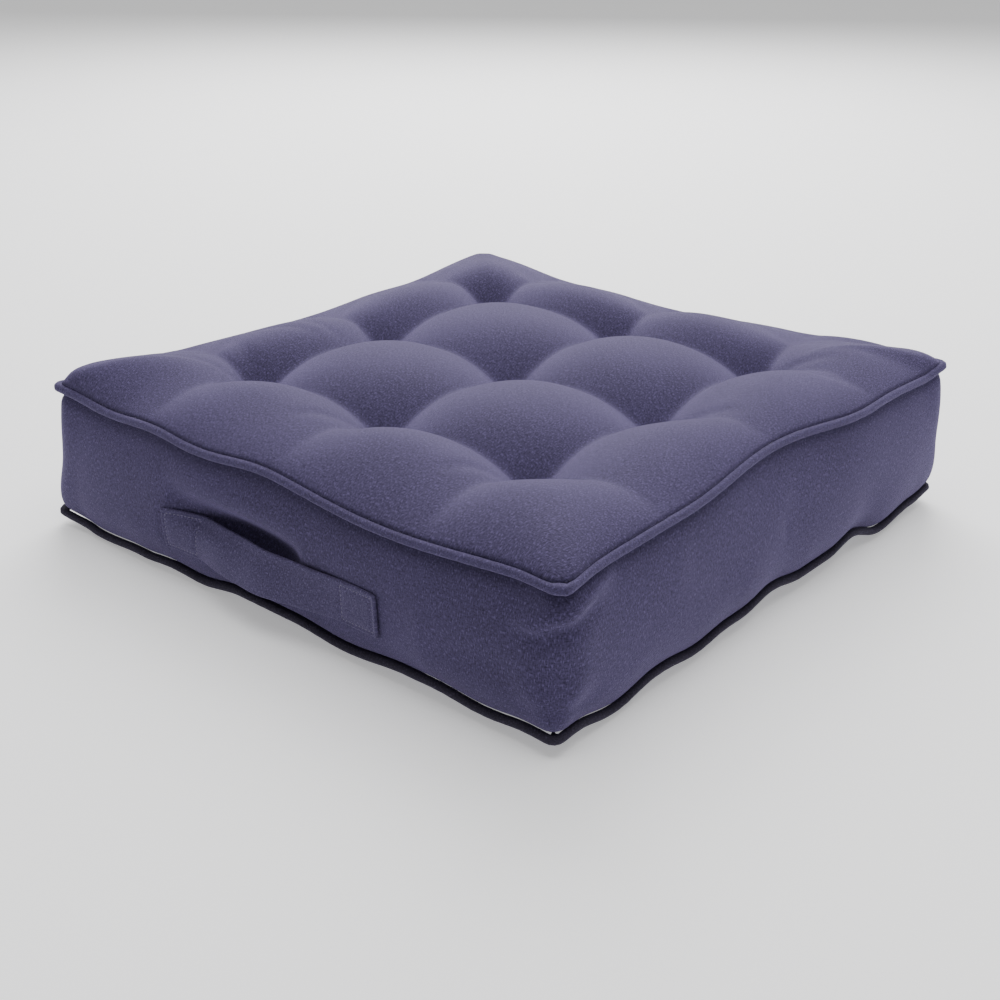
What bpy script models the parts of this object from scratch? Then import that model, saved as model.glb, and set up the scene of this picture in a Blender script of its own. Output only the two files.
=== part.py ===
"""Square box-edge floor cushion with nine thread tufts, piped seams and a cloth carry handle.

Units are metres and +Z is up. The origin is on the floor, in the middle of the whole cushion's
length and width, handle included. The handle is on the front, which faces -Y. The cover is two
tufted panels and a boxing, joined at two piped seams.
"""

import math

import bmesh
import bpy
from mathutils import Vector

# ---- Driving dimensions -------------------------------------------------------------------------

SIDE = 0.508  # between the centres of the top piping on opposite sides
BOXING_HEIGHT = 0.105  # between the centres of the bottom and the top piping
SEAM_LIFT = 0.014  # how high the bottom piping's centre is carried above the floor
SLUMP = 0.004  # how far the bottom seam stands outside the top seam, on each side
BOXING_BULGE = 0.008  # how far the boxing swells past the piping's centre
CORNER_PULL = 0.004  # how far each corner is drawn in, along X and along Y

CLOTH = 0.0008  # thickness of the cotton canvas
SEAM_ALLOWANCE = 0.012  # width of the turned-in edges inside each seam
CREASE = 0.004  # from a panel's folded edge in to where its two plies part
PIPING_DIAMETER = 0.0065  # over the cloth
GAP = 0.0003  # kept between pieces that lie on each other

TUFT_SPACING = 0.143  # between neighbouring tufts, three by three
CROWN_RISE = 0.026  # top of the domes above the top seam
DIP_DEPTH = 0.020  # bottom of the tufts below the top seam, and above the bottom seam
FLOOR_PRESS = 0.015  # how much of the underside's domes the floor presses flat
EDGE_ROLL = 0.060  # width over which a panel rolls down to its seam
FILLING_CLEARANCE = 0.002  # between the filling and the seams' turned-in edges

TIE_RADIUS = 0.0010  # bundle of tufting thread
TIE_KNOT_RADIUS = 0.0025
TIE_KNOT_HEIGHT = 0.0018
NEEDLE_HOLE_RADIUS = 0.0015

HANDLE_LENGTH = 0.224  # over both sewn-down ends
HANDLE_CENTRE_X = -0.0095
HANDLE_LIFT = 0.0265  # middle of the strap above the bottom seam
STRAP_WIDTH = 0.033  # up the boxing
STRAP_THICKNESS = 0.0028  # folded canvas, four plies
SEWN_END = 0.038  # length of strap sewn down at each end
STRAP_STAND_OFF = 0.012  # how far the loop's middle bows away from the boxing
STITCH_INSET = 0.0035  # from the sewn end's edges to its box stitching
THREAD = 0.0010  # thickness of the box stitching's thread

# ---- Sizes that follow from them ----------------------------------------------------------------

HALF = SIDE / 2
PIPING_RADIUS = PIPING_DIAMETER / 2
BOTTOM_SEAM = SEAM_LIFT
TOP_SEAM = SEAM_LIFT + BOXING_HEIGHT
PLY_GAP = GAP / 2  # half of the slot between the piping's two plies
LIP_FACE = PLY_GAP + CLOTH + GAP  # from the seam's plane to the nearest face of a turned-in edge
LIP_BACK = LIP_FACE + CLOTH
NECK = math.sqrt(PIPING_RADIUS**2 - LIP_FACE**2) + 1.5 * GAP  # piping centre to panel edge
TOP_EDGE = HALF - NECK
BOTTOM_EDGE = HALF + SLUMP - NECK
FILLING_EDGE = HALF - PIPING_RADIUS - SEAM_ALLOWANCE - FILLING_CLEARANCE
PANEL_DEPTH = 1.15 * CLOTH  # a panel's thickness straight down, where it slopes
PANEL_TO_FILLING = 2 * GAP

TUFT_STEPS = 4  # grid steps between tufts
OUTER_STEPS = 3  # grid steps from the outer tufts to the filling's edge
SWELL_POWER = 0.5  # a lower power makes rounder domes and narrower valleys
ROLL_POWER = 0.6
BORE_SIDES = 6  # flat sides of the piping cover, inside and out
BOXING_ROWS = (0.0, 0.06, 0.2, 0.5, 0.8, 0.94, 1.0)  # shares of the boxing's height

CANVAS_COLOUR = (0.075, 0.066, 0.133, 1.0)
PIPING_COLOUR = (0.068, 0.060, 0.120, 1.0)
STRAP_COLOUR = (0.058, 0.052, 0.098, 1.0)
THREAD_COLOUR = (0.052, 0.047, 0.092, 1.0)
CORD_COLOUR = (0.78, 0.76, 0.70, 1.0)
FILLING_COLOUR = (0.86, 0.86, 0.84, 1.0)


# ---- Tools shared by the pieces -----------------------------------------------------------------


def clear_scene():
    for old in list(bpy.data.objects):
        bpy.data.objects.remove(old, do_unlink=True)


def material(name, colour, roughness):
    found = bpy.data.materials.get(name)
    if found:
        return found
    made = bpy.data.materials.new(name)
    made.use_nodes = True
    shader = made.node_tree.nodes["Principled BSDF"]
    shader.inputs["Base Color"].default_value = colour
    shader.inputs["Roughness"].default_value = roughness
    shader.inputs["Metallic"].default_value = 0.0
    return made


def finished(name, bm, look, origin=(0, 0, 0)):
    """Turns a bmesh in world coordinates into an object whose origin is at the given point."""
    bmesh.ops.recalc_face_normals(bm, faces=bm.faces)
    bmesh.ops.translate(bm, verts=bm.verts, vec=-Vector(origin))
    mesh = bpy.data.meshes.new(name)
    bm.to_mesh(mesh)
    bm.free()
    mesh.materials.append(look)
    mesh.shade_smooth()
    mesh.set_sharp_from_angle(angle=math.radians(40))
    made = bpy.data.objects.new(name, mesh)
    made.location = origin
    bpy.context.scene.collection.objects.link(made)
    return made


def cutter(name, bm):
    """A closed shape that only cuts: it isn't part of the cushion."""
    made = finished(name, bm, material("cutter", CORD_COLOUR, 0.5))
    made.hide_render = True
    made.display_type = "WIRE"
    return made


def cut(target, tool):
    step = target.modifiers.new("cut_by_" + tool.name, "BOOLEAN")
    step.operation = "DIFFERENCE"
    step.solver = "EXACT"
    step.object = tool


def loft(bm, sections, closed):
    """Skins a row of closed sections with equal point counts, round a ring or with two end caps."""
    rows = [[bm.verts.new(point) for point in section] for section in sections]
    count = len(rows[0])
    pairs = list(zip(rows, rows[1:]))
    if closed:
        pairs.append((rows[-1], rows[0]))
    else:
        bm.faces.new(rows[0])
        bm.faces.new(reversed(rows[-1]))
    for near, far in pairs:
        for k in range(count):
            following = (k + 1) % count
            bm.faces.new((near[k], near[following], far[following], far[k]))


# ---- The cushion's plan: grid lines and square rings --------------------------------------------


def half_lines():
    """Distances from the middle to each grid line, out to the filling's edge."""
    inner = [TUFT_SPACING * k / TUFT_STEPS for k in range(TUFT_STEPS + 1)]
    step = (FILLING_EDGE - TUFT_SPACING) / OUTER_STEPS
    return inner + [TUFT_SPACING + step * k for k in range(1, OUTER_STEPS + 1)]


def grid_lines(edge=None):
    """Grid lines across the cushion, with one more at the edge if there is one beyond the filling."""
    half = half_lines() + ([edge] if edge else [])
    return [-value for value in reversed(half[1:])] + half


def placed(x, y, z):
    """A point of the plan, with the square's corners drawn in as a stuffed cover's are."""
    reach = max(abs(x), abs(y))
    if reach <= TUFT_SPACING:
        return Vector((x, y, z))
    toward_corner = (min(abs(x), abs(y)) / reach) ** 14
    toward_edge = ((reach - TUFT_SPACING) / (HALF - TUFT_SPACING)) ** 2
    shrink = 1 - CORNER_PULL / HALF * toward_corner * toward_edge
    return Vector((x * shrink, y * shrink, z))


def square_ring(half, z, lines):
    """Points round a square: one on each grid line and one on each corner, from front left."""
    run = [-half] + lines
    ring = [(a, -half) for a in run]
    ring += [(half, a) for a in run]
    ring += [(-a, half) for a in run]
    ring += [(-half, -a) for a in run]
    return [placed(x, y, z) for x, y in ring]


def stations(section):
    """A section of (half size, height) points, repeated at every point round the square."""
    return list(zip(*[square_ring(half, z, grid_lines()) for half, z in section]))


# ---- The tufted surfaces ------------------------------------------------------------------------


def wave(a):
    """0 on a tuft line and 1 midway between tufts, and flat again past the outer domes' tops."""
    a = abs(a)
    if a <= TUFT_SPACING:
        return math.sin(math.pi * a / TUFT_SPACING) ** 2
    to_top = (FILLING_EDGE - TUFT_SPACING) * 2 / 3
    return math.sin(math.pi / 2 * min(1, (a - TUFT_SPACING) / to_top)) ** 2


def swell(x, y):
    """0 at a tuft and 1 at the top of a dome."""
    return ((wave(x) + wave(y)) / 2) ** SWELL_POWER


def roll(a, edge):
    """0 at a panel's edge and 1 where the panel no longer rolls down to its seam."""
    inward = min(1, max(0, edge - abs(a)) / EDGE_ROLL)
    return math.sin(math.pi / 2 * inward) ** ROLL_POWER


def top_height(x, y):
    at_seam = TOP_SEAM + LIP_FACE
    dip = TOP_SEAM - DIP_DEPTH
    dome = dip + (DIP_DEPTH + CROWN_RISE) * swell(x, y)
    return at_seam + (dome - at_seam) * roll(x, TOP_EDGE) * roll(y, TOP_EDGE)


def bottom_height(x, y):
    """The underside: the same domes turned down, pressed flat where they meet the floor."""
    at_seam = BOTTOM_SEAM - LIP_FACE
    dip = BOTTOM_SEAM + DIP_DEPTH
    dome = dip - (dip + FLOOR_PRESS) * swell(x, y)
    free = at_seam + (dome - at_seam) * roll(x, BOTTOM_EDGE) * roll(y, BOTTOM_EDGE)
    return max(0.0, free)


def add_surface(bm, lines, height):
    """A grid of triangles at that height, and the ring of vertices round it, from front left."""
    grid = [[bm.verts.new(placed(x, y, height(x, y))) for x in lines] for y in lines]
    last = len(lines) - 1
    for j in range(last):
        for i in range(last):
            a, b = grid[j][i], grid[j][i + 1]
            c, d = grid[j + 1][i + 1], grid[j + 1][i]
            if (lines[i] + lines[i + 1]) * (lines[j] + lines[j + 1]) > 0:
                halves = ((a, b, c), (a, c, d))
            else:
                halves = ((b, c, d), (b, d, a))
            for half in halves:
                bm.faces.new(half)
    ring = [grid[0][i] for i in range(last)]
    ring += [grid[j][last] for j in range(last)]
    ring += [grid[last][i] for i in range(last, 0, -1)]
    ring += [grid[j][0] for j in range(last, 0, -1)]
    return ring


def add_ring(bm, half, z, lines):
    return [bm.verts.new(point) for point in square_ring(half, z, lines)]


def join_rings(bm, near, far):
    count = len(near)
    for k in range(count):
        following = (k + 1) % count
        bm.faces.new((near[k], near[following], far[following], far[k]))


# ---- Panels: canvas squares with their seam allowance folded in ---------------------------------


def panel(name, edge, height, seam, up, look):
    """up is 1 for the top panel and -1 for the bottom one."""
    bm = bmesh.new()
    outside = add_surface(bm, grid_lines(edge), height)
    crease = edge - CREASE
    folded = seam + up * LIP_BACK

    def inside_height(x, y):
        if max(abs(x), abs(y)) > FILLING_EDGE + GAP:
            return folded
        return height(x, y) - up * PANEL_DEPTH

    inside = add_surface(bm, grid_lines(crease), inside_height)
    lip_end = edge - SEAM_ALLOWANCE
    back = add_ring(bm, lip_end, folded, grid_lines())
    face = add_ring(bm, lip_end, seam + up * LIP_FACE, grid_lines())
    join_rings(bm, inside, back)
    join_rings(bm, back, face)
    join_rings(bm, face, outside)
    return finished(name, bm, look)


# ---- Boxing: the strip that makes the cushion's sides -------------------------------------------


def boxing_row(share):
    """Half size and height of the boxing's outside at a share of its height."""
    half = HALF + SLUMP * (1 - share) - NECK
    half += (BOXING_BULGE + NECK) * math.sin(math.pi * share) ** ROLL_POWER
    low = BOTTOM_SEAM + LIP_FACE
    high = TOP_SEAM - LIP_FACE
    return half, low + (high - low) * share


def boxing_half(z):
    """Half size of the boxing's outside at a height, on the straight faces between its rows."""
    rows = [boxing_row(share) for share in BOXING_ROWS]
    for (half_a, z_a), (half_b, z_b) in zip(rows, rows[1:]):
        if z <= z_b:
            return half_a + (half_b - half_a) * (z - z_a) / (z_b - z_a)
    return rows[-1][0]


def boxing_section():
    outside = [boxing_row(share) for share in BOXING_ROWS]
    inside = [(half - CLOTH, z) for half, z in outside]
    low_half, low = outside[0]
    high_half, high = outside[-1]
    inside[0] = (low_half - CLOTH, low + CLOTH)
    inside[-1] = (high_half - CLOTH, high - CLOTH)
    bottom_lip = [(low_half - SEAM_ALLOWANCE, low + CLOTH), (low_half - SEAM_ALLOWANCE, low)]
    top_lip = [(high_half - SEAM_ALLOWANCE, high), (high_half - SEAM_ALLOWANCE, high - CLOTH)]
    return bottom_lip + outside + top_lip + list(reversed(inside))


def boxing_strips(look):
    """One strip round the left, front and right, and one across the back, meeting at its corners."""
    rings = stations(boxing_section())
    per_side = len(rings) // 4
    right_back = 2 * per_side
    left_back = 3 * per_side
    bm = bmesh.new()
    loft(bm, rings[left_back:] + rings[: right_back + 1], closed=False)
    front = finished("boxing_front_and_sides", bm, look)
    rear_rings = [list(ring) for ring in rings[right_back : left_back + 1]]
    trim = Vector((2 * GAP, 0, 0))
    rear_rings[0] = [point - trim for point in rear_rings[0]]
    rear_rings[-1] = [point + trim for point in rear_rings[-1]]
    bm = bmesh.new()
    loft(bm, rear_rings, closed=False)
    rear = finished("boxing_rear", bm, look)
    return front, rear


# ---- Piping: a bias strip folded round a cord, with its flange caught in the seam ---------------


def arc(radius, start, steps):
    """Points of a section from -start round the outside to +start, as (out, up)."""
    turns = [-start + 2 * start * k / steps for k in range(steps + 1)]
    return [(radius * math.cos(turn), radius * math.sin(turn)) for turn in turns]


def piping_cover(name, half, seam, look):
    inner_radius = PIPING_RADIUS - CLOTH
    ply_back = PLY_GAP + CLOTH
    outer = arc(PIPING_RADIUS, math.pi - math.asin(ply_back / PIPING_RADIUS), BORE_SIDES)
    inner = arc(inner_radius, math.pi - math.asin(PLY_GAP / inner_radius), BORE_SIDES)
    end = -PIPING_RADIUS - SEAM_ALLOWANCE
    section = [(end, -ply_back)] + outer + [(end, ply_back), (end, PLY_GAP)]
    section += list(reversed(inner)) + [(end, -PLY_GAP)]
    bm = bmesh.new()
    loft(bm, stations([(half + out, seam + up) for out, up in section]), closed=True)
    return finished(name, bm, look)


def piping_cord(name, half, seam, look):
    """The cord fills the cover's bore, whose flat sides stand in from its round."""
    radius = (PIPING_RADIUS - CLOTH) * math.cos(math.pi / BORE_SIDES) - GAP
    turns = [math.tau * k / 8 for k in range(8)]
    section = [(half + radius * math.cos(t), seam + radius * math.sin(t)) for t in turns]
    bm = bmesh.new()
    loft(bm, stations(section), closed=True)
    return finished(name, bm, look)


# ---- Filling ------------------------------------------------------------------------------------


def filling(look):
    """One block of fibre that fills the cover, notched where the turned-in edges of the seams lie."""
    bm = bmesh.new()
    drop = PANEL_DEPTH + PANEL_TO_FILLING
    lines = grid_lines()
    above = add_surface(bm, lines, lambda x, y: top_height(x, y) - drop)
    below = add_surface(bm, lines, lambda x, y: bottom_height(x, y) + drop)
    notch = LIP_BACK + FILLING_CLEARANCE / 2
    profile = [(FILLING_EDGE, TOP_SEAM - notch)]
    for share in reversed(BOXING_ROWS[1:-1]):
        half, z = boxing_row(share)
        profile.append((half - CLOTH - FILLING_CLEARANCE, z))
    profile.append((FILLING_EDGE, BOTTOM_SEAM + notch))
    rings = [above] + [add_ring(bm, half, z, lines[1:-1]) for half, z in profile] + [below]
    for near, far in zip(rings, rings[1:]):
        join_rings(bm, near, far)
    return finished("fibre_filling", bm, look)


# ---- Tufts: thread drawn down through both panels and knotted on each side ----------------------


def tuft_places():
    steps = (-TUFT_SPACING, 0.0, TUFT_SPACING)
    return [(x, y) for y in steps for x in steps]


def needle_holes():
    bm = bmesh.new()
    height = TOP_SEAM + BOTTOM_SEAM
    for x, y in tuft_places():
        made = bmesh.ops.create_cone(
            bm,
            cap_ends=True,
            segments=8,
            radius1=NEEDLE_HOLE_RADIUS,
            radius2=NEEDLE_HOLE_RADIUS,
            depth=2 * height,
        )
        bmesh.ops.translate(bm, verts=made["verts"], vec=(x, y, height / 2))
    return cutter("needle_holes", bm)


def steepest(height, x, y):
    """The steepest slope of a tufted surface's grid faces round a tuft."""
    inner = TUFT_SPACING / TUFT_STEPS
    outer = (FILLING_EDGE - TUFT_SPACING) / OUTER_STEPS
    steps = (-outer, -inner, 0, inner, outer)
    around = [(a, b) for a in steps for b in steps if a or b]
    here = height(x, y)
    return max(abs(height(x + a, y + b) - here) / math.hypot(a, b) for a, b in around)


def tuft_tie(name, x, y, look):
    """A turned thread bundle on its own axis, with a knot lying clear of each panel's dimple."""
    top_clear = steepest(top_height, x, y) * TIE_KNOT_RADIUS + GAP
    bottom_clear = steepest(bottom_height, x, y) * TIE_KNOT_RADIUS + GAP
    top_knot = top_height(x, y) + top_clear
    bottom_knot = bottom_height(x, y) - bottom_clear
    profile = [
        (0.0, top_knot + TIE_KNOT_HEIGHT),
        (0.6 * TIE_KNOT_RADIUS, top_knot + TIE_KNOT_HEIGHT),
        (TIE_KNOT_RADIUS, top_knot + TIE_KNOT_HEIGHT / 2),
        (0.8 * TIE_KNOT_RADIUS, top_knot),
        (TIE_RADIUS, top_knot),
        (TIE_RADIUS, bottom_knot),
        (0.8 * TIE_KNOT_RADIUS, bottom_knot),
        (TIE_KNOT_RADIUS, bottom_knot - TIE_KNOT_HEIGHT / 2),
        (0.6 * TIE_KNOT_RADIUS, bottom_knot - TIE_KNOT_HEIGHT),
        (0.0, bottom_knot - TIE_KNOT_HEIGHT),
    ]
    bm = bmesh.new()
    outline = [bm.verts.new((x + r, y, z)) for r, z in profile]
    edges = [bm.edges.new(pair) for pair in zip(outline, outline[1:])]
    bmesh.ops.spin(
        bm,
        geom=outline + edges,
        axis=(0, 0, 1),
        cent=(x, y, 0),
        angle=math.tau,
        steps=8,
        use_merge=True,
    )
    bmesh.ops.remove_doubles(bm, verts=bm.verts, dist=1e-5)
    return finished(name, bm, look, origin=(x, y, 0))


# ---- Handle: a folded strap whose two ends are sewn flat to the boxing --------------------------

STRAP_LOW = BOTTOM_SEAM + HANDLE_LIFT - STRAP_WIDTH / 2
STRAP_HIGH = BOTTOM_SEAM + HANDLE_LIFT + STRAP_WIDTH / 2
STRAP_BACK = -boxing_half(STRAP_HIGH) - GAP  # the boxing stands furthest out at the strap's top
STRAP_FACE = STRAP_BACK - STRAP_THICKNESS
HANDLE_LEFT = HANDLE_CENTRE_X - HANDLE_LENGTH / 2
HANDLE_RIGHT = HANDLE_CENTRE_X + HANDLE_LENGTH / 2


def sewn_end(name, left, look):
    """A prism with a flat face outside, and a back that follows the boxing's slope."""
    rows = [boxing_row(share)[1] for share in BOXING_ROWS]
    heights = [STRAP_LOW] + [z for z in rows if STRAP_LOW < z < STRAP_HIGH] + [STRAP_HIGH]
    outline = [(-boxing_half(z) - GAP, z) for z in heights]
    outline += [(STRAP_FACE, STRAP_HIGH), (STRAP_FACE, STRAP_LOW)]
    sections = [[(x, y, z) for y, z in outline] for x in (left, left + SEWN_END)]
    bm = bmesh.new()
    loft(bm, sections, closed=False)
    return finished(name, bm, look)


def strap_loop(look):
    """The free span between the sewn ends. It bows away from the boxing to let fingers in."""
    left = HANDLE_LEFT + SEWN_END + GAP
    right = HANDLE_RIGHT - SEWN_END - GAP
    steps = 12
    sections = []
    for k in range(steps + 1):
        x = left + (right - left) * k / steps
        bow = STRAP_STAND_OFF * (1 - (2 * k / steps - 1) ** 2)
        back = STRAP_BACK - bow
        face = STRAP_FACE - bow
        corners = ((back, STRAP_LOW), (face, STRAP_LOW), (face, STRAP_HIGH), (back, STRAP_HIGH))
        sections.append([(x, y, z) for y, z in corners])
    bm = bmesh.new()
    loft(bm, sections, closed=False)
    axis_point = (HANDLE_CENTRE_X, STRAP_FACE, (STRAP_LOW + STRAP_HIGH) / 2)
    return finished("handle_loop", bm, look, origin=axis_point)


def stitch_corners(left):
    """Centres of the four corners of a sewn end's box stitching, in X and Z."""
    inset = STITCH_INSET + THREAD / 2
    across = (left + inset, left + SEWN_END - inset)
    up = (STRAP_LOW + inset, STRAP_HIGH - inset)
    return [(x, z) for z in up for x in across]


def box_stitching(name, left, look):
    """A square of thread on the strap, with a leg at each corner sewn through strap and boxing."""
    (x_low, z_low), (x_high, z_high) = stitch_corners(left)[0], stitch_corners(left)[3]
    half = THREAD / 2
    xs = (x_low - half, x_low + half, x_high - half, x_high + half)
    zs = (z_low - half, z_low + half, z_high - half, z_high + half)
    back = STRAP_FACE - GAP
    bm = bmesh.new()
    grid = [[bm.verts.new((x, back, z)) for x in xs] for z in zs]
    cells = [(i, j) for j in range(3) for i in range(3) if (i, j) != (1, 1)]
    squares = {}
    for i, j in cells:
        corners = (grid[j][i], grid[j][i + 1], grid[j + 1][i + 1], grid[j + 1][i])
        squares[i, j] = bm.faces.new(corners)
    fronts = bmesh.ops.extrude_face_region(bm, geom=list(bm.faces), use_keep_orig=True)
    raised = [item for item in fronts["geom"] if isinstance(item, bmesh.types.BMVert)]
    bmesh.ops.translate(bm, verts=raised, vec=(0, -THREAD * 0.8, 0))
    for (i, j), (_, z) in zip(((0, 0), (2, 0), (0, 2), (2, 2)), stitch_corners(left)):
        leg = bmesh.ops.extrude_face_region(bm, geom=[squares[i, j]])
        tip = [item for item in leg["geom"] if isinstance(item, bmesh.types.BMVert)]
        through = -(boxing_half(z) - CLOTH - FILLING_CLEARANCE / 2)
        bmesh.ops.translate(bm, verts=tip, vec=(0, through - back, 0))
        bmesh.ops.delete(bm, geom=[squares[i, j]], context="FACES_ONLY")
    return finished(name, bm, look)


def stitch_holes(name, left):
    """Needle holes for the four legs, through the sewn end and the boxing."""
    width = THREAD + 2 * GAP
    depth = SEAM_ALLOWANCE * 2
    bm = bmesh.new()
    for x, z in stitch_corners(left):
        made = bmesh.ops.create_cube(bm, size=1.0)
        bmesh.ops.scale(bm, verts=made["verts"], vec=(width, depth, width))
        bmesh.ops.translate(bm, verts=made["verts"], vec=(x, STRAP_BACK, z))
    return cutter(name, bm)


# ---- Assembly -----------------------------------------------------------------------------------


def gather():
    """Parents every piece to one empty, set back so that cushion and handle are centred together."""
    front_reach = STRAP_STAND_OFF - STRAP_FACE
    back_reach = boxing_row(0.5)[0]
    middle = bpy.data.objects.new("cushion_middle", None)
    for piece in list(bpy.context.scene.collection.objects):
        piece.parent = middle
    bpy.context.scene.collection.objects.link(middle)
    middle.location = (0, (front_reach - back_reach) / 2, 0)


def build():
    clear_scene()
    canvas = material("navy_canvas", CANVAS_COLOUR, 0.92)
    bias = material("piping_canvas", PIPING_COLOUR, 0.90)
    strap = material("strap_canvas", STRAP_COLOUR, 0.90)
    thread = material("sewing_thread", THREAD_COLOUR, 0.65)
    cord = material("piping_cord", CORD_COLOUR, 0.95)
    fibre = material("polyester_fibre", FILLING_COLOUR, 1.0)

    top = panel("top_panel", TOP_EDGE, top_height, TOP_SEAM, 1, canvas)
    bottom = panel("bottom_panel", BOTTOM_EDGE, bottom_height, BOTTOM_SEAM, -1, canvas)
    block = filling(fibre)
    holes = needle_holes()
    for pierced in (top, bottom, block):
        cut(pierced, holes)
    for number, (x, y) in enumerate(tuft_places(), start=1):
        tuft_tie(f"tuft_tie_{number}", x, y, thread)

    front, _ = boxing_strips(canvas)
    piping_cover("top_piping_cover", HALF, TOP_SEAM, bias)
    piping_cord("top_piping_cord", HALF, TOP_SEAM, cord)
    piping_cover("bottom_piping_cover", HALF + SLUMP, BOTTOM_SEAM, bias)
    piping_cord("bottom_piping_cord", HALF + SLUMP, BOTTOM_SEAM, cord)

    for side, left in (("left", HANDLE_LEFT), ("right", HANDLE_RIGHT - SEWN_END)):
        end = sewn_end(f"handle_{side}_end", left, strap)
        sewn_through = stitch_holes(f"{side}_stitch_holes", left)
        cut(end, sewn_through)
        cut(front, sewn_through)
        box_stitching(f"handle_{side}_stitching", left, thread)
    strap_loop(strap)
    gather()


build()
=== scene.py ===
import math

import bmesh
import bpy
import numpy as np
from mathutils import Matrix, Vector, noise
from mathutils.bvhtree import BVHTree


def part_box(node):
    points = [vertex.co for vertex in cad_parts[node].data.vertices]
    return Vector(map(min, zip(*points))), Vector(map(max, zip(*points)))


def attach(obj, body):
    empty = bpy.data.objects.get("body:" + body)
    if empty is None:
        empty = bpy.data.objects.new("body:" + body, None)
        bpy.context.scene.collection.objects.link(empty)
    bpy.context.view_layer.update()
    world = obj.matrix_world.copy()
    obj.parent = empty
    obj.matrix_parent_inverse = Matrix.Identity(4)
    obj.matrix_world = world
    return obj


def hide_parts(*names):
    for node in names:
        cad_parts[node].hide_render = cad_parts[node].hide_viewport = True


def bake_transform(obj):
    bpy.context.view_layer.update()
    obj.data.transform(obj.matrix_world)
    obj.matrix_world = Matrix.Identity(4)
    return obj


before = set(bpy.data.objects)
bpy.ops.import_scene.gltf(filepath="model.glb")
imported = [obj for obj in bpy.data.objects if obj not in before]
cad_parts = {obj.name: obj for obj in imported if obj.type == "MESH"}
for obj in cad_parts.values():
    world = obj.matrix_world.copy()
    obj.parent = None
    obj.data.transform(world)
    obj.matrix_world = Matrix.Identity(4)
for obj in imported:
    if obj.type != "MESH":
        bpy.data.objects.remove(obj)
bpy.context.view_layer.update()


# ---- The cushion's lines ------------------------------------------------------------------------
# The cushion is laid out from its two piped seams and its nine tufts. The seams are squares whose
# edges were eased in by hand at the machine and pushed about in use, so they wander a little.

PIPING_RADIUS = 0.00325  # cord and the cloth round it
SEAM_DRAWN_IN = 0.0015  # how far the filling draws the bottom seam in
top_seam_low, top_seam_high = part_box("top_piping_cover")
bottom_seam_low, bottom_seam_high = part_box("bottom_piping_cover")
MIDDLE = (top_seam_low + top_seam_high) / 2
TOP_SEAM = MIDDLE.z
BOTTOM_SEAM = (bottom_seam_low.z + bottom_seam_high.z) / 2
TOP_HALF = top_seam_high.x - PIPING_RADIUS
BOTTOM_HALF = bottom_seam_high.x - PIPING_RADIUS - SEAM_DRAWN_IN

TUFT_NODES = sorted(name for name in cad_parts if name.startswith("tuft_tie"))
tuft_middles = [sum(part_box(name), Vector()) / 2 - MIDDLE for name in TUFT_NODES]
TUFT_SPACING = max(place.x for place in tuft_middles)

PIPING_CORNER_RADIUS = 0.0050
CREASE_CORNER_RADIUS = 0.0085
BELLY_CORNER_RADIUS = 0.033

# Each wave is: its middle along the side, its reach each way, how far out it goes and how far up.
TOP_WAVES = {
    "front": (
        (-0.185, 0.078, 0.0012, -0.0050),
        (-0.080, 0.085, 0.0035, -0.0050),
        (0.110, 0.155, 0.0045, -0.0074),
    ),
    "right": (
        (0.010, 0.130, -0.0080, 0.0064),
        (-0.060, 0.190, -0.0018, 0.0015),
        (0.170, 0.080, -0.0012, 0.0018),
        (-0.254, 0.060, 0.0030, 0.0000),
    ),
    "rear": (
        (-0.020, 0.190, -0.0010, -0.0085),
        (-0.145, 0.085, 0.0000, -0.0040),
        (0.195, 0.075, 0.0000, 0.0052),
    ),
    "left": (
        (-0.110, 0.120, -0.0020, -0.0016),
        (0.010, 0.190, 0.0000, -0.0085),
        (0.150, 0.085, -0.0020, -0.0030),
    ),
}
BOTTOM_WAVES = {
    "front": (
        (-0.208, 0.056, 0.0030, -0.0080),
        (-0.150, 0.060, 0.0030, -0.0056),
        (-0.086, 0.050, 0.0000, -0.0062),
        (0.074, 0.056, 0.0000, -0.0040),
        (0.198, 0.046, 0.0000, -0.0032),
        (0.000, 0.300, 0.0024, -0.0008),
    ),
    "right": (
        (-0.195, 0.046, 0.0000, -0.0062),
        (-0.103, 0.040, 0.0000, -0.0036),
        (-0.002, 0.042, -0.0015, 0.0042),
        (0.118, 0.040, -0.0010, 0.0044),
        (0.165, 0.050, 0.0010, -0.0062),
        (0.215, 0.040, 0.0000, -0.0020),
    ),
    "rear": ((-0.120, 0.080, 0.0030, -0.0030), (0.090, 0.090, 0.0030, -0.0035)),
    "left": ((-0.100, 0.070, 0.0020, -0.0030), (0.080, 0.080, 0.0025, -0.0030)),
}
OUTWARD = {"front": (0, -1), "right": (1, 0), "rear": (0, 1), "left": (-1, 0)}

# The piped corners stand out as small ears: how far out and up each one is pulled.
TOP_EARS = {(-1, -1): (0.0035, 0.0010), (1, -1): (0.0030, -0.0010), (1, 1): (0.0020, 0.0045)}
BOTTOM_EARS = {(-1, -1): (0.0075, -0.0015), (1, -1): (0.0015, -0.0010), (1, 1): (-0.0020, 0.0)}
EAR_REACH = 0.034


def bell(t):
    """1 in the middle, 0 from 1 outwards, and smooth between."""
    return (1 + math.cos(math.pi * min(1.0, abs(t)))) / 2


def eased(t):
    """0 below 0, 1 above 1, and smooth between."""
    t = min(1.0, max(0.0, t))
    return t * t * (3 - 2 * t)


def side_of(x, y):
    if abs(y) >= abs(x):
        return ("front", x) if y < 0 else ("rear", x)
    return ("left", y) if x < 0 else ("right", y)


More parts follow.
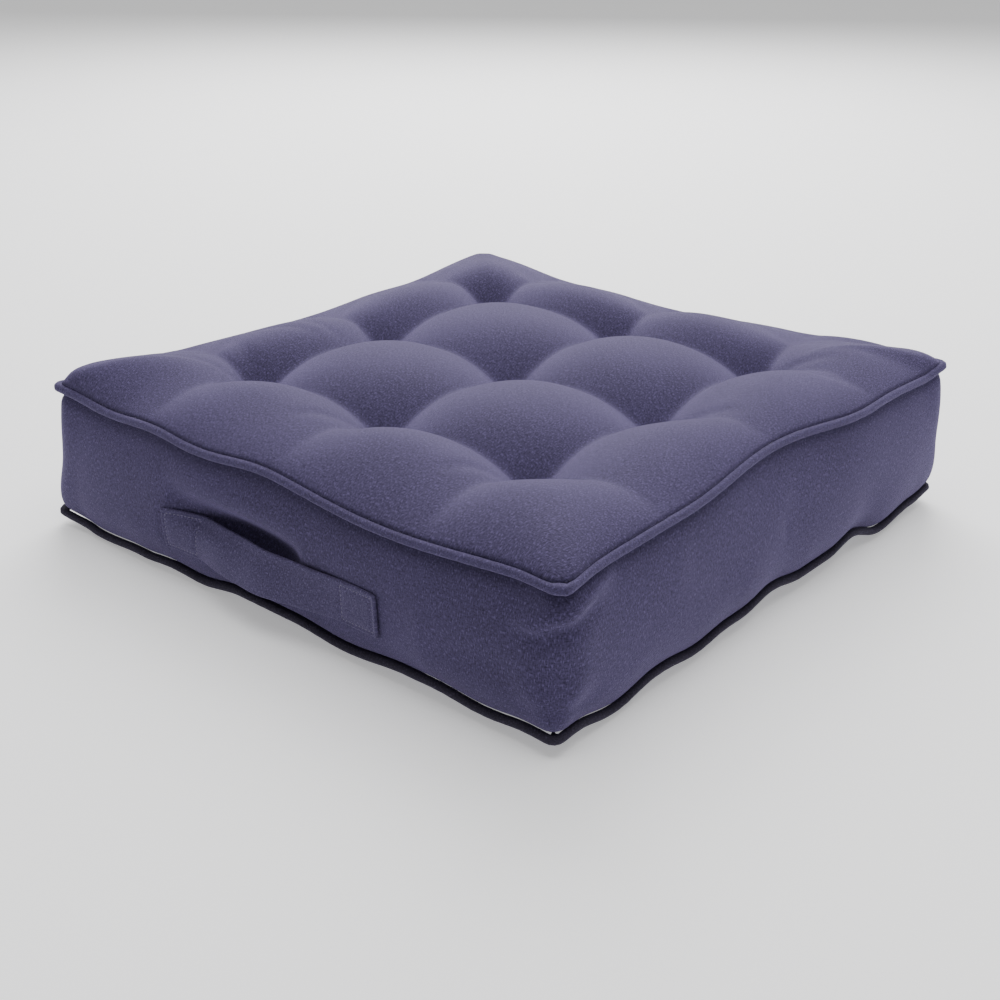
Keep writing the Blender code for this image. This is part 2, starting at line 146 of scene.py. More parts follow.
def seam_shift(x, y, waves, ears):
    """How far a seam strays from its square at a point of the square's edge."""
    side, along = side_of(x, y)
    normal = Vector((*OUTWARD[side], 0.0))
    shift = Vector()
    for middle, reach, out, up in waves[side]:
        share = bell((along - middle) / reach)
        shift += normal * out * share + Vector((0, 0, up * share))
    for (right, back), (out, up) in ears.items():
        corner = Vector((right * TOP_HALF, back * TOP_HALF))
        share = bell((Vector((x, y)) - corner).length / EAR_REACH)
        diagonal = Vector((right, back, 0)).normalized()
        shift += (diagonal * out + Vector((0, 0, up))) * share
    return shift


def on_ring(x, y, half, radius):
    """A point of the edge of the top seam's square, carried to a square with rounded corners."""
    side, along = side_of(x, y)
    straight = half - radius
    run = abs(along) / TOP_HALF * (straight + radius * math.pi / 4)
    if run <= straight:
        far, near = half, run
    else:
        turn = (run - straight) / radius
        far = straight + radius * math.cos(turn)
        near = straight + radius * math.sin(turn)
    near = math.copysign(near, along)
    if side in ("front", "rear"):
        return Vector((near, math.copysign(far, y)))
    return Vector((math.copysign(far, x), near))


# ---- Cover: the block of cloth that the panels and the boxing are cut from ----------------------
# The cover is a tufted top, a boxing 105 mm high and a tufted underside, sewn into one skin round
# the filling. It is blocked out whole, so that the tension runs through its seams, and then pulled
# tight by the filling's pressure while its seams and tufts hold it.

CELLS_BETWEEN_TUFTS = 28
CELLS_TO_SEAM = 22
CELLS_UP = 20
TUFT_SHARE = CELLS_BETWEEN_TUFTS / (CELLS_BETWEEN_TUFTS + CELLS_TO_SEAM)

TOP_CREASE = (0.0014, 0.0033)  # how far in and up from the piping's centre the seam lies
BOTTOM_CREASE = (0.0056, 0.0022)
TUCK = 0.0048  # how far the boxing goes in behind the top piping before it turns out
TUCK_DEPTH = 0.0048
TUCK_REACH = 0.0062
BOXING_BULGE = 0.0090
BULGE_FALLOFF = 4  # a higher power keeps the bulge up nearer to the corners
LOW_BULGE = 0.0045  # the filling has settled towards the floor
LOW_BULGE_SHARE = 0.24  # how far up the boxing it lies, and its reach each way
BELLY_POWER = 1.6  # how soon the boxing's corners grow rounder away from the seams
CORNER_SLACK = {(-1, -1): 0.20}  # how much of the bulge is missing at a corner
TOP_EDGE_POWER = 1.10  # a lower power makes the boxing turn out from its seam more sharply
BOTTOM_EDGE_POWER = 0.34
CROWN_RISE = 0.0225
TOP_DIP = 0.021
BOTTOM_DIP = 0.018
FLOOR_PRESS = 0.012
EDGE_ROLL = 0.062
DOME_POWER = 1.1
OUTER_TOP = 0.056  # from the outer tufts out to the outer domes' tops
EDGE_VALLEY = 0.35
VALLEY_FADE = 1.2
ROLL_POWER = 0.80
ROLL_BLEND = 5  # a higher power makes the two edges' rolls meet more sharply
CORNER_FILL = {(-1, -1): 0.0030}  # extra height of a corner dome
CORNER_FILL_PLACE = 0.216
CORNER_FILL_REACH = 0.050
CORNER_FILL_FADE = 0.012
CORNER_STEEPNESS = {(-1, -1): 0.34, (-1, 1): 0.08}  # how much more steeply a corner rises
CORNER_REACH = 0.110
SLUMP = {"rear": 0.0100, "left": 0.0080}  # how much lower the outer domes of a side lie
SLUMP_PLACE = 0.222  # where it is deepest, from the middle
SLUMP_REACH = 0.060
SLUMP_END_FADE = 0.08
SLUMP_SEAM_FADE = 0.020
UNEVENNESS = 0.10  # the fibre is packed unevenly, by this share of a dome's height
PATCHES_PER_METRE = 9
PATCH_LAYER = 3.1  # keeps the underside's patches apart from the top's
SEAM_FADE = 0.085  # how far in from a seam its waves still move the panel
EVEN_ROWS = 0.2  # how much of the boxing's row spacing is even
SEAM_HOLD = 0.9  # how firmly the boxing is held beside a seam
HOLD_REACH = 0.12  # of the boxing's height
REGIONS = ("top_panel", "boxing_front_and_sides", "boxing_rear", "bottom_panel")


def plan_line(share):
    """Where a grid line lies across the cushion, for its share of the way from the middle."""
    size = abs(share)
    if size <= TUFT_SHARE:
        place = TUFT_SPACING * size / TUFT_SHARE
    else:
        place = TUFT_SPACING + (TOP_HALF - TUFT_SPACING) * (size - TUFT_SHARE) / (1 - TUFT_SHARE)
    return math.copysign(place, share)


def pillow(a):
    """Square of the way from a dome's top (0) to a line of tufts (1), along X or along Y."""
    a = abs(a)
    if a <= TUFT_SPACING:
        return (2 * a / TUFT_SPACING - 1) ** 2
    return max(0, 1 - (a - TUFT_SPACING) / OUTER_TOP) ** 2


def valley(a):
    """How deep the valleys that cross the cushion's edge still are: 1 at the tufts, less outside."""
    outside = (abs(a) - TUFT_SPACING) / (TOP_HALF - TUFT_SPACING)
    return 1 - (1 - EDGE_VALLEY) * eased(outside * VALLEY_FADE)


def swell(x, y):
    """0 at a tuft and 1 at the top of a dome, with a narrow valley between two domes."""
    return 1 - ((pillow(x) * valley(y) + pillow(y) * valley(x)) / 2) ** DOME_POWER


def roll(x, y):
    """0 at the seam and 1 where the panel no longer rolls down to it."""
    inward_x, inward_y = max(1e-6, TOP_HALF - abs(x)), max(1e-6, TOP_HALF - abs(y))
    inward = (inward_x**-ROLL_BLEND + inward_y**-ROLL_BLEND) ** (-1 / ROLL_BLEND)
    power = ROLL_POWER
    for (right, back), steepness in CORNER_STEEPNESS.items():
        away = math.hypot(x - right * TOP_HALF, y - back * TOP_HALF)
        power -= steepness * bell(away / CORNER_REACH)
    return math.sin(math.pi / 2 * min(1, inward / EDGE_ROLL)) ** power


def panel_point(x, y, up):
    """A point of the top (up 1) or of the underside (up -1)."""
    reach = max(abs(x), abs(y))
    seam = TOP_SEAM + TOP_CREASE[1] if up > 0 else BOTTOM_SEAM + BOTTOM_CREASE[1]
    dip = TOP_DIP if up > 0 else BOTTOM_DIP
    rise = CROWN_RISE if up > 0 else BOTTOM_SEAM + FLOOR_PRESS
    patch = Vector((x * PATCHES_PER_METRE, y * PATCHES_PER_METRE, PATCH_LAYER * up))
    fullness = 1 + UNEVENNESS * noise.noise(patch)
    dome = (-dip + (dip + rise) * swell(x, y)) * fullness
    point = Vector((x, y, seam + up * dome * roll(x, y)))
    if up > 0:
        for (right, back), fill in CORNER_FILL.items():
            away = Vector((x - right * CORNER_FILL_PLACE, y - back * CORNER_FILL_PLACE)).length
            fade = min(1, (TOP_HALF - reach) / CORNER_FILL_FADE)
            point.z += fill * bell(away / CORNER_FILL_REACH) * fade
        side, along = side_of(x, y)
        slump = SLUMP.get(side, 0) * eased((TOP_HALF - abs(along)) / SLUMP_END_FADE)
        fade = min(1, (TOP_HALF - reach) / SLUMP_SEAM_FADE)
        point.z -= slump * bell((reach - SLUMP_PLACE) / SLUMP_REACH) * fade
    if reach > 0:
        fade = eased((reach - (TOP_HALF - SEAM_FADE)) / SEAM_FADE)
        edge = Vector((x, y)) * (TOP_HALF / reach)
        pulled = boxing_point(edge.x, edge.y, 1 if up > 0 else 0)
        point += (pulled - Vector((*edge, seam))) * fade
    return point


def boxing_point(x, y, share):
    """A point of the boxing, at its share of the way up from the bottom seam to the top one."""
    belly = math.sin(math.pi * share)
    along = min(1, abs(side_of(x, y)[1]) / TOP_HALF)
    slack = CORNER_SLACK.get((math.copysign(1, x), math.copysign(1, y)), 0.0)
    bulge = BOXING_BULGE * (1 - slack * along**BULGE_FALLOFF)
    inward = BOTTOM_CREASE[0] + (TOP_CREASE[0] - BOTTOM_CREASE[0]) * share
    power = BOTTOM_EDGE_POWER + (TOP_EDGE_POWER - BOTTOM_EDGE_POWER) * eased(share)
    half = BOTTOM_HALF + (TOP_HALF - BOTTOM_HALF) * share
    half += (bulge + inward) * belly**power - inward
    low_belly = bell((share - LOW_BULGE_SHARE) / LOW_BULGE_SHARE)
    half += LOW_BULGE * low_belly * (1 - along**BULGE_FALLOFF)
    half -= TUCK * bell(((1 - share) * (TOP_SEAM - BOTTOM_SEAM) - TUCK_DEPTH) / TUCK_REACH)
    if share > 0.9999:  # on the stitched line itself
        half = TOP_HALF - inward
    radius = CREASE_CORNER_RADIUS + (BELLY_CORNER_RADIUS - CREASE_CORNER_RADIUS) * belly**BELLY_POWER
    flat = on_ring(x, y, half, radius)
    low, high = BOTTOM_SEAM + BOTTOM_CREASE[1], TOP_SEAM + TOP_CREASE[1]
    top = seam_shift(x, y, TOP_WAVES, TOP_EARS)
    bottom = seam_shift(x, y, BOTTOM_WAVES, BOTTOM_EARS)
    strays = bottom * (1 - eased(share)) + top * eased(share)
    return Vector((*flat, low + (high - low) * share)) + strays


def row_share(w):
    """How far up the boxing a row of cells lies: the rows crowd towards both seams."""
    even = (w + 1) / 2
    return EVEN_ROWS * even + (1 - EVEN_ROWS) / 2 * (1 - math.cos(math.pi * even))


def cover_block():
    """A closed block of small square cells, with a grid line through every tuft."""
    across = 2 * (CELLS_BETWEEN_TUFTS + CELLS_TO_SEAM)
    bm = bmesh.new()
    bmesh.ops.create_cube(bm, size=2)
    level = [e for e in bm.edges if abs(e.verts[0].co.z - e.verts[1].co.z) < 0.5]
    bmesh.ops.subdivide_edges(bm, edges=level, cuts=across - 1, use_grid_fill=True)
    upright = [e for e in bm.edges if abs(e.verts[0].co.z - e.verts[1].co.z) > 0.5]
    bmesh.ops.subdivide_edges(bm, edges=upright, cuts=CELLS_UP - 1, use_grid_fill=True)
    return bm


def region_of(middle):
    if middle.z > 0.999:
        return 0
    if middle.z < -0.999:
        return 3
    return 2 if middle.y > 0.999 else 1


def lay_threads(bm):
    """Marks each panel's region and gives it a UV map in metres, straight with its threads."""
    threads = bm.loops.layers.uv.new("threads")
    rise = (TOP_SEAM - BOTTOM_SEAM) / 2
    for face in bm.faces:
        middle = face.calc_center_median()
        face.material_index = region_of(middle)
        for loop in face.loops:
            x, y = plan_line(loop.vert.co.x), plan_line(loop.vert.co.y)
            if abs(middle.z) > 0.999:
                place = (x, y)
            elif middle.y < -0.999:
                place = (x, loop.vert.co.z * rise)
            elif middle.y > 0.999:
                place = (-x, loop.vert.co.z * rise)
            else:
                around = 2 * TOP_HALF + y
                place = (math.copysign(around, middle.x), loop.vert.co.z * rise)
            loop[threads].uv = place


def hold_of(share):
    """How firmly a row of the boxing is held: fully at its seams, where its edges are turned in."""
    near = min(share, 1 - share)
    return 1.0 if near < 1e-4 else SEAM_HOLD * (1 - eased(near / HOLD_REACH))


def shape_block(bm):
    """Carries the block to the sewn cover's shape, and returns how firmly each vertex is held."""
    holds = {}
    for vert in bm.verts:
        u, v, w = vert.co
        x, y = plan_line(u), plan_line(v)
        on_side = max(abs(u), abs(v)) > 0.9999
        if abs(w) > 0.9999 and not on_side:
            vert.co = panel_point(x, y, 1 if w > 0 else -1)
            if all(abs(abs(a) - TUFT_SPACING) < 1e-5 or abs(a) < 1e-5 for a in (x, y)):
                holds[vert.index] = 1.0
        else:
            vert.co = boxing_point(x, y, row_share(w))
            hold = hold_of(row_share(w))
            if hold > 0:
                holds[vert.index] = hold
        vert.co += Vector((MIDDLE.x, MIDDLE.y, 0))
    return holds


bm = cover_block()
lay_threads(bm)
bm.verts.index_update()
holds = shape_block(bm)
cover_mesh = bpy.data.meshes.new("sewn_cover")
bm.to_mesh(cover_mesh)
bm.free()
sewn_cover = bpy.data.objects.new("sewn_cover", cover_mesh)
bpy.context.scene.collection.objects.link(sewn_cover)


# ---- Cover: stuffed tight ------------------------------------------------------------------------
# The filling's pressure pulls the cloth tight between its seams and tufts. The canvas hardly
# stretches, so no point moves far. Then the underside is pressed flat where it lies on the floor.

PRESSURE = 4.0
STUFFING_FRAMES = 20
MOST_STRETCH = 0.007  # how far a point of the cloth may move
FLOOR_SOFTNESS = 0.0035
FOLD_TAPER = 0.7  # a lower power keeps a fold at its full height nearer to its ends


def positions(mesh):
    points = np.empty(len(mesh.vertices) * 3)
    mesh.vertices.foreach_get("co", points)
    return points.reshape(-1, 3)


def stuff(cover, holds):
    """Inflates the cover with its seams and tufts held, and keeps the result in its mesh."""
    group = cover.vertex_groups.new(name="held")
    for index, hold in holds.items():
        group.add([index], hold, "REPLACE")
    before = positions(cover.data)
    cloth = cover.modifiers.new("stuffing", "CLOTH")
    cloth.settings.quality = 6
    cloth.settings.mass = 0.25
    cloth.settings.tension_stiffness = 18
    cloth.settings.compression_stiffness = 12
    cloth.settings.shear_stiffness = 6
    cloth.settings.bending_stiffness = 0.4
    cloth.settings.use_pressure = True
    cloth.settings.uniform_pressure_force = PRESSURE
    cloth.settings.effector_weights.gravity = 0
    cloth.settings.vertex_group_mass = "held"
    cloth.point_cache.frame_end = STUFFING_FRAMES
    for frame_number in range(1, STUFFING_FRAMES + 1):
        bpy.context.scene.frame_set(frame_number)
    evaluated = cover.evaluated_get(bpy.context.evaluated_depsgraph_get())
    after = positions(evaluated.data)
    cover.modifiers.remove(cloth)
    bpy.context.scene.frame_set(1)
    moved = after - before
    far = np.linalg.norm(moved, axis=1, keepdims=True)
    moved *= np.tanh(far / MOST_STRETCH) * MOST_STRETCH / np.maximum(far, 1e-9)
    cover.data.vertices.foreach_set("co", (before + moved).ravel())


stuff(sewn_cover, holds)


def lay_fold(points, normals, facing, start, end, width, height):
    """A ridge (or with a minus height a groove) on the cloth that faces one way."""
    facing = np.array(facing) / np.linalg.norm(facing)
    start, end = np.array(start) + (MIDDLE.x, MIDDLE.y, 0), np.array(end) + (MIDDLE.x, MIDDLE.y, 0)
    along = end - start
    along = along - facing * (along @ facing)
    out = points - start
    out = out - np.outer(out @ facing, facing)
    share = np.clip(out @ along / (along @ along), 0, 1)
    away = np.linalg.norm(out - share[:, None] * along, axis=1) / width
    turned_there = np.clip(2 * normals @ facing, 0, 1)
    return height * np.exp(-(away**2)) * np.sin(np.pi * share) ** FOLD_TAPER * turned_there


# Each fold: which way its cloth faces, where it starts and ends, its half width, and its height.
FOLDS = (
    # the boxing lies flatter behind the handle, and is dented in above its free span
    ((0, -1, 0), (-0.120, -0.262, 0.048), (0.150, -0.262, 0.050), 0.0300, -0.0075),
    ((0, -1, 0), (-0.108, -0.260, 0.068), (0.036, -0.262, 0.067), 0.0100, -0.0185),
    ((0, -1, 0), (-0.110, -0.262, 0.090), (0.036, -0.266, 0.089), 0.0110, 0.0030),
    ((0, -1, 0), (0.150, -0.262, 0.045), (0.235, -0.266, 0.060), 0.0120, -0.0022),
    # pinches at the nearest corner, under its top seam and over its bottom one
    ((1, -1, 0), (0.262, -0.206, 0.112), (0.224, -0.266, 0.086), 0.0046, 0.0066),
    ((1, -1, 0), (0.262, -0.222, 0.099), (0.222, -0.266, 0.078), 0.0050, -0.0062),
    ((1, -1, 0), (0.246, -0.256, 0.112), (0.218, -0.266, 0.094), 0.0045, -0.0024),
    ((1, -1, 0), (0.264, -0.214, 0.036), (0.232, -0.268, 0.031), 0.0040, -0.0022),
    # slack along the right side
    ((1, 0, 0), (0.266, -0.130, 0.090), (0.268, -0.050, 0.048), 0.0180, -0.0020),
    ((1, 0, 0), (0.268, 0.020, 0.075), (0.268, 0.110, 0.040), 0.0180, 0.0016),
    # drag lines on the top, from the outer tufts to the seams
    ((0, 0, 1), (-0.150, -0.150, 0), (-0.205, -0.190, 0), 0.0048, -0.0014),
    ((0, 0, 1), (-0.152, -0.136, 0), (-0.215, -0.112, 0), 0.0050, -0.0014),
    ((0, 0, 1), (-0.160, -0.060, 0), (-0.222, -0.095, 0), 0.0050, -0.0014),
    ((0, 0, 1), (-0.150, -0.040, 0), (-0.215, -0.060, 0), 0.0045, -0.0012),
    ((0, 0, 1), (-0.004, -0.152, 0), (-0.034, -0.210, 0), 0.0050, -0.0015),
    ((0, 0, 1), (0.006, -0.150, 0), (0.026, -0.205, 0), 0.0048, -0.0012),
    ((0, 0, 1), (0.138, -0.152, 0), (0.112, -0.208, 0), 0.0052, -0.0014),
    ((0, 0, 1), (0.150, 0.146, 0), (0.208, 0.168, 0), 0.0046, -0.0014),
    ((0, 0, 1), (0.188, 0.120, 0), (0.236, 0.140, 0), 0.0042, -0.0012),
    ((0, 0, 1), (0.184, 0.176, 0), (0.228, 0.202, 0), 0.0040, -0.0012),
    ((0, 0, 1), (0.152, 0.004, 0), (0.214, 0.014, 0), 0.0052, -0.0014),
    ((0, 0, 1), (-0.146, 0.152, 0), (-0.170, 0.214, 0), 0.0050, -0.0012),
)

sewn_cover.data.update()
stuffed_points = positions(sewn_cover.data)
normals = np.empty(stuffed_points.size)
sewn_cover.data.vertices.foreach_get("normal", normals)
normals = normals.reshape(-1, 3)
free = np.ones(len(stuffed_points))
free[list(holds)] -= list(holds.values())
shifts = sum(lay_fold(stuffed_points, normals, *fold) for fold in FOLDS) * free
stuffed_points += normals * shifts[:, None]
sewn_cover.data.vertices.foreach_set("co", stuffed_points.ravel())

cover_points = positions(sewn_cover.data)
heights = cover_points[:, 2]
cover_points[:, 2] = FLOOR_SOFTNESS * np.logaddexp(0, heights / FLOOR_SOFTNESS)
sewn_cover.data.vertices.foreach_set("co", cover_points.ravel())
sewn_cover.data.update()


# ---- Canvas -------------------------------------------------------------------------------------
# The cover is a plain-weave cotton canvas, yarn-dyed in dusky navy. Light and dark slubs in its
# yarns give it a faint heather, and its short nap shines along the domes' edges.

YARN_PITCH = 0.00062
LINT_STRENGTH = 0.40  # how far the pale flecks of lint stand out


def add_node(tree, kind, **settings):
    node = tree.nodes.new("ShaderNode" + kind)
    for key, value in settings.items():
        setattr(node, key, value)
    return node


def math_node(tree, operation, first, second=None):
    node = add_node(tree, "Math", operation=operation)
    for socket, value in zip(node.inputs, (first, second)):
        if value is None:
            continue
        if isinstance(value, (int, float)):
            socket.default_value = value
        else:
            tree.links.new(value, socket)
    return node.outputs[0]


def slubs(tree, place, along, across, detail=3.0):
    """Noise drawn out along the yarns: along and across are its lengths in metres."""
    stretch = add_node(tree, "Mapping")
    stretch.inputs["Scale"].default_value = (1 / along, 1 / across, 1)
    grain = add_node(tree, "TexNoise")
    grain.inputs["Scale"].default_value = 1.0
    grain.inputs["Detail"].default_value = detail
    grain.inputs["Roughness"].default_value = 0.62
    tree.links.new(place, stretch.inputs["Vector"])
    tree.links.new(stretch.outputs[0], grain.inputs["Vector"])
    return grain.outputs["Fac"]


def new_look(name):
    made = bpy.data.materials.new(name)
    made.use_nodes = True
    return made, made.node_tree, made.node_tree.nodes["Principled BSDF"]


def two_tone(tree, amount, dark, light):
    """A colour between a dark and a light one."""
    colour = add_node(tree, "Mix", data_type="RGBA")
    colour.inputs["A"].default_value = (*dark, 1)
    colour.inputs["B"].default_value = (*light, 1)
    tree.links.new(amount, colour.inputs["Factor"])
    return colour.outputs["Result"]


def canvas(name, dark, light, sheen=0.35, turn=0.0, roughness=0.86, weave_depth=0.00012):
    """Plain-weave canvas on a UV map in metres. Turn is the weave's angle to that map."""
    made, tree, shader = new_look(name)
    shader.inputs["Sheen Weight"].default_value = sheen
    shader.inputs["Sheen Roughness"].default_value = 0.42
    shader.inputs["Sheen Tint"].default_value = (0.60, 0.52, 0.95, 1)
    shader.inputs["Specular IOR Level"].default_value = 0.22

    coordinates = add_node(tree, "UVMap", uv_map="threads")
    turned = add_node(tree, "Mapping")
    turned.inputs["Rotation"].default_value = (0, 0, turn)
    tree.links.new(coordinates.outputs[0], turned.inputs["Vector"])
    place = turned.outputs[0]
    split = add_node(tree, "SeparateXYZ")
    tree.links.new(place, split.inputs[0])

    # the weave: warp over weft in one square, weft over warp in the next
    warp = math_node(tree, "SINE", math_node(tree, "MULTIPLY", split.outputs[0], math.pi / YARN_PITCH))
    weft = math_node(tree, "SINE", math_node(tree, "MULTIPLY", split.outputs[1], math.pi / YARN_PITCH))
    crossing = math_node(tree, "MULTIPLY", warp, weft)
    over = math_node(tree, "GREATER_THAN", crossing, 0.0)
    round_warp = math_node(tree, "ABSOLUTE", warp)
    round_weft = math_node(tree, "ABSOLUTE", weft)
    on_top = math_node(tree, "MULTIPLY", round_warp, over)
    beneath = math_node(tree, "MULTIPLY", round_weft, math_node(tree, "SUBTRACT", 1.0, over))
    weave = math_node(tree, "ADD", on_top, beneath)

    # the heather: long slubs in both yarns, and short flecks
    warp_slubs = slubs(tree, place, 0.0007, 0.0035)
    weft_slubs = slubs(tree, place, 0.0040, 0.0007)
    flecks = slubs(tree, place, 0.0013, 0.0011, detail=1.0)
    patches = slubs(tree, place, 0.09, 0.07, detail=2.0)
    yarns = math_node(tree, "ADD", warp_slubs, weft_slubs)
    mottle = math_node(tree, "ADD", yarns, math_node(tree, "MULTIPLY", flecks, 1.1))
    mottle = math_node(tree, "ADD", mottle, math_node(tree, "MULTIPLY", patches, 0.35))
    mottle = math_node(tree, "ADD", mottle, math_node(tree, "MULTIPLY", weave, 0.10))
    ramp = add_node(tree, "MapRange")
    ramp.inputs["From Min"].default_value = 1.42
    ramp.inputs["From Max"].default_value = 2.14
    tree.links.new(mottle, ramp.inputs["Value"])
    colour = two_tone(tree, ramp.outputs[0], dark, light)
    lint = add_node(tree, "MapRange")
    lint.inputs["From Min"].default_value = 0.60
    lint.inputs["From Max"].default_value = 0.74
    lint.inputs["To Max"].default_value = LINT_STRENGTH
    tree.links.new(slubs(tree, place, 0.0009, 0.0019, detail=0.0), lint.inputs["Value"])
    linted = add_node(tree, "Mix", data_type="RGBA")
    linted.inputs["B"].default_value = (*[channel * 2.2 for channel in light], 1)
    tree.links.new(lint.outputs[0], linted.inputs["Factor"])
    tree.links.new(colour, linted.inputs["A"])
    tree.links.new(linted.outputs["Result"], shader.inputs["Base Color"])

    rough = add_node(tree, "MapRange")
    rough.inputs["From Min"].default_value = 0.3
    rough.inputs["From Max"].default_value = 0.7
    rough.inputs["To Min"].default_value = roughness - 0.06
    rough.inputs["To Max"].default_value = roughness + 0.06
    tree.links.new(flecks, rough.inputs["Value"])
    tree.links.new(rough.outputs[0], shader.inputs["Roughness"])

    relief = math_node(tree, "ADD", weave, math_node(tree, "MULTIPLY", yarns, 0.6))
    bump = add_node(tree, "Bump")
    bump.inputs["Strength"].default_value = 0.5
    bump.inputs["Distance"].default_value = weave_depth
    tree.links.new(relief, bump.inputs["Height"])
    tree.links.new(bump.outputs[0], shader.inputs["Normal"])
    return made


cover_canvas = canvas("cover_canvas", (0.020, 0.015, 0.040), (0.072, 0.058, 0.134))


# ---- Panels and boxing --------------------------------------------------------------------------
# The top, the underside, and a boxing in two strips: one round the front and both sides, and one
# across the back. Each is a single ply of canvas with its seam allowance turned in at its seams.

CLOTH = 0.0008
SEAM_ALLOWANCE = 0.010


def finish_piece(bm, name, look):
    """Gives a finished shape its look, shades it smooth and puts it in the scene."""
    mesh = bpy.data.meshes.new(name)
    bm.to_mesh(mesh)
    bm.free()
    mesh.materials.append(look)
    mesh.shade_smooth()
    piece = bpy.data.objects.new(name, mesh)
    bpy.context.scene.collection.objects.link(piece)
    return piece


def cut_piece(name, region, look):
    """Cuts one region out of the sewn cover, turns its edges in and gives it a cloth's thickness."""
    bm = bmesh.new()
    bm.from_mesh(sewn_cover.data)
    folded = bm.edges.layers.float.new("crease_edge")
    others = [face for face in bm.faces if face.material_index != region]
    bmesh.ops.delete(bm, geom=others, context="FACES")
    for face in bm.faces:
        face.material_index = 0
    edges = [edge for edge in bm.edges if edge.is_boundary]
    for edge in edges:
        edge[folded] = 1.0
    turned = bmesh.ops.extrude_edge_only(bm, edges=edges)["geom"]
    lift = {0: -CLOTH, 3: CLOTH}.get(region, 0.0)
    for vert in (g for g in turned if isinstance(g, bmesh.types.BMVert)):
        inward = Vector((MIDDLE.x - vert.co.x, MIDDLE.y - vert.co.y, 0))
        vert.co += inward.normalized() * SEAM_ALLOWANCE + Vector((0, 0, lift))
    bmesh.ops.recalc_face_normals(bm, faces=bm.faces)
    piece = finish_piece(bm, name, look)
    finer = piece.modifiers.new("finer_cells", "SUBSURF")
    finer.levels = finer.render_levels = 1
    ply = piece.modifiers.new("ply", "SOLIDIFY")
    ply.thickness = CLOTH
    ply.offset = -1
    return piece


panels = {}
for region, node in enumerate(REGIONS):
    piece = cut_piece(node + "_cloth", region, cover_canvas)
    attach(piece, "cushion")
    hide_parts(node)
    panels[node] = piece


# ---- Filling ------------------------------------------------------------------------------------
# Loose polyester fibre fills the cover right up to the cloth, and the tufts pull it in.

FILLING_INSET = 0.0035


def fibre(name):
    made, tree, shader = new_look(name)
    shader.inputs["Roughness"].default_value = 0.95
    shader.inputs["Subsurface Weight"].default_value = 0.2
    coordinates = add_node(tree, "TexCoord")
    tufts = slubs(tree, coordinates.outputs["Object"], 0.004, 0.009)
    colour = two_tone(tree, tufts, (0.70, 0.70, 0.67), (0.90, 0.90, 0.88))
    tree.links.new(colour, shader.inputs["Base Color"])
    bump = add_node(tree, "Bump")
    bump.inputs["Distance"].default_value = 0.002
    tree.links.new(tufts, bump.inputs["Height"])
    tree.links.new(bump.outputs[0], shader.inputs["Normal"])
    return made


bm = bmesh.new()
bm.from_mesh(sewn_cover.data)
bm.normal_update()
inside = [vert.co - vert.normal * FILLING_INSET for vert in bm.verts]
for vert, place in zip(bm.verts, inside):
    vert.co = place
for face in bm.faces:
    face.material_index = 0
filling = finish_piece(bm, "filling", fibre("polyester_fibre"))
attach(filling, "cushion")
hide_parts("fibre_filling")


# ---- Piping -------------------------------------------------------------------------------------
# A cotton cord in a bias-cut strip of the same canvas runs round each seam, caught between panel
# and boxing. The strips are drawn without their joins.

PIPING_STEP = 0.0025
PIPING_SIDES = 16
CORD_RADIUS = 0.0023
BIAS_PLY = CLOTH * 0.8  # the strip is drawn thin round its cord
WOBBLES_PER_METRE = 160
FLANGE_START = 0.80  # how squarely a point must face the seam before it is drawn out
FLANGE_BLEND = 0.20


def seam_line(share):
    """The piping's centre line and the stitched line, for the bottom seam (0) or the top one (1)."""
    half = BOTTOM_HALF + (TOP_HALF - BOTTOM_HALF) * share
    waves, ears = (TOP_WAVES, TOP_EARS) if share else (BOTTOM_WAVES, BOTTOM_EARS)
    z = TOP_SEAM if share else BOTTOM_SEAM
    steps = round(2 * TOP_HALF / PIPING_STEP)
    run = [TOP_HALF * (2 * k / steps - 1) for k in range(steps)]
    square = [(a, -TOP_HALF) for a in run]
    square += [(TOP_HALF, a) for a in run]
    square += [(-a, TOP_HALF) for a in run]
    square += [(-TOP_HALF, -a) for a in run]
    line, seam = [], []
    for x, y in square:
        flat = on_ring(x, y, half, PIPING_CORNER_RADIUS)
        point = Vector((*flat, z)) + seam_shift(x, y, waves, ears)
        line.append(point + Vector((MIDDLE.x, MIDDLE.y, 0)))
        seam.append(boxing_point(x, y, share) + Vector((MIDDLE.x, MIDDLE.y, 0)))
    return line, seam


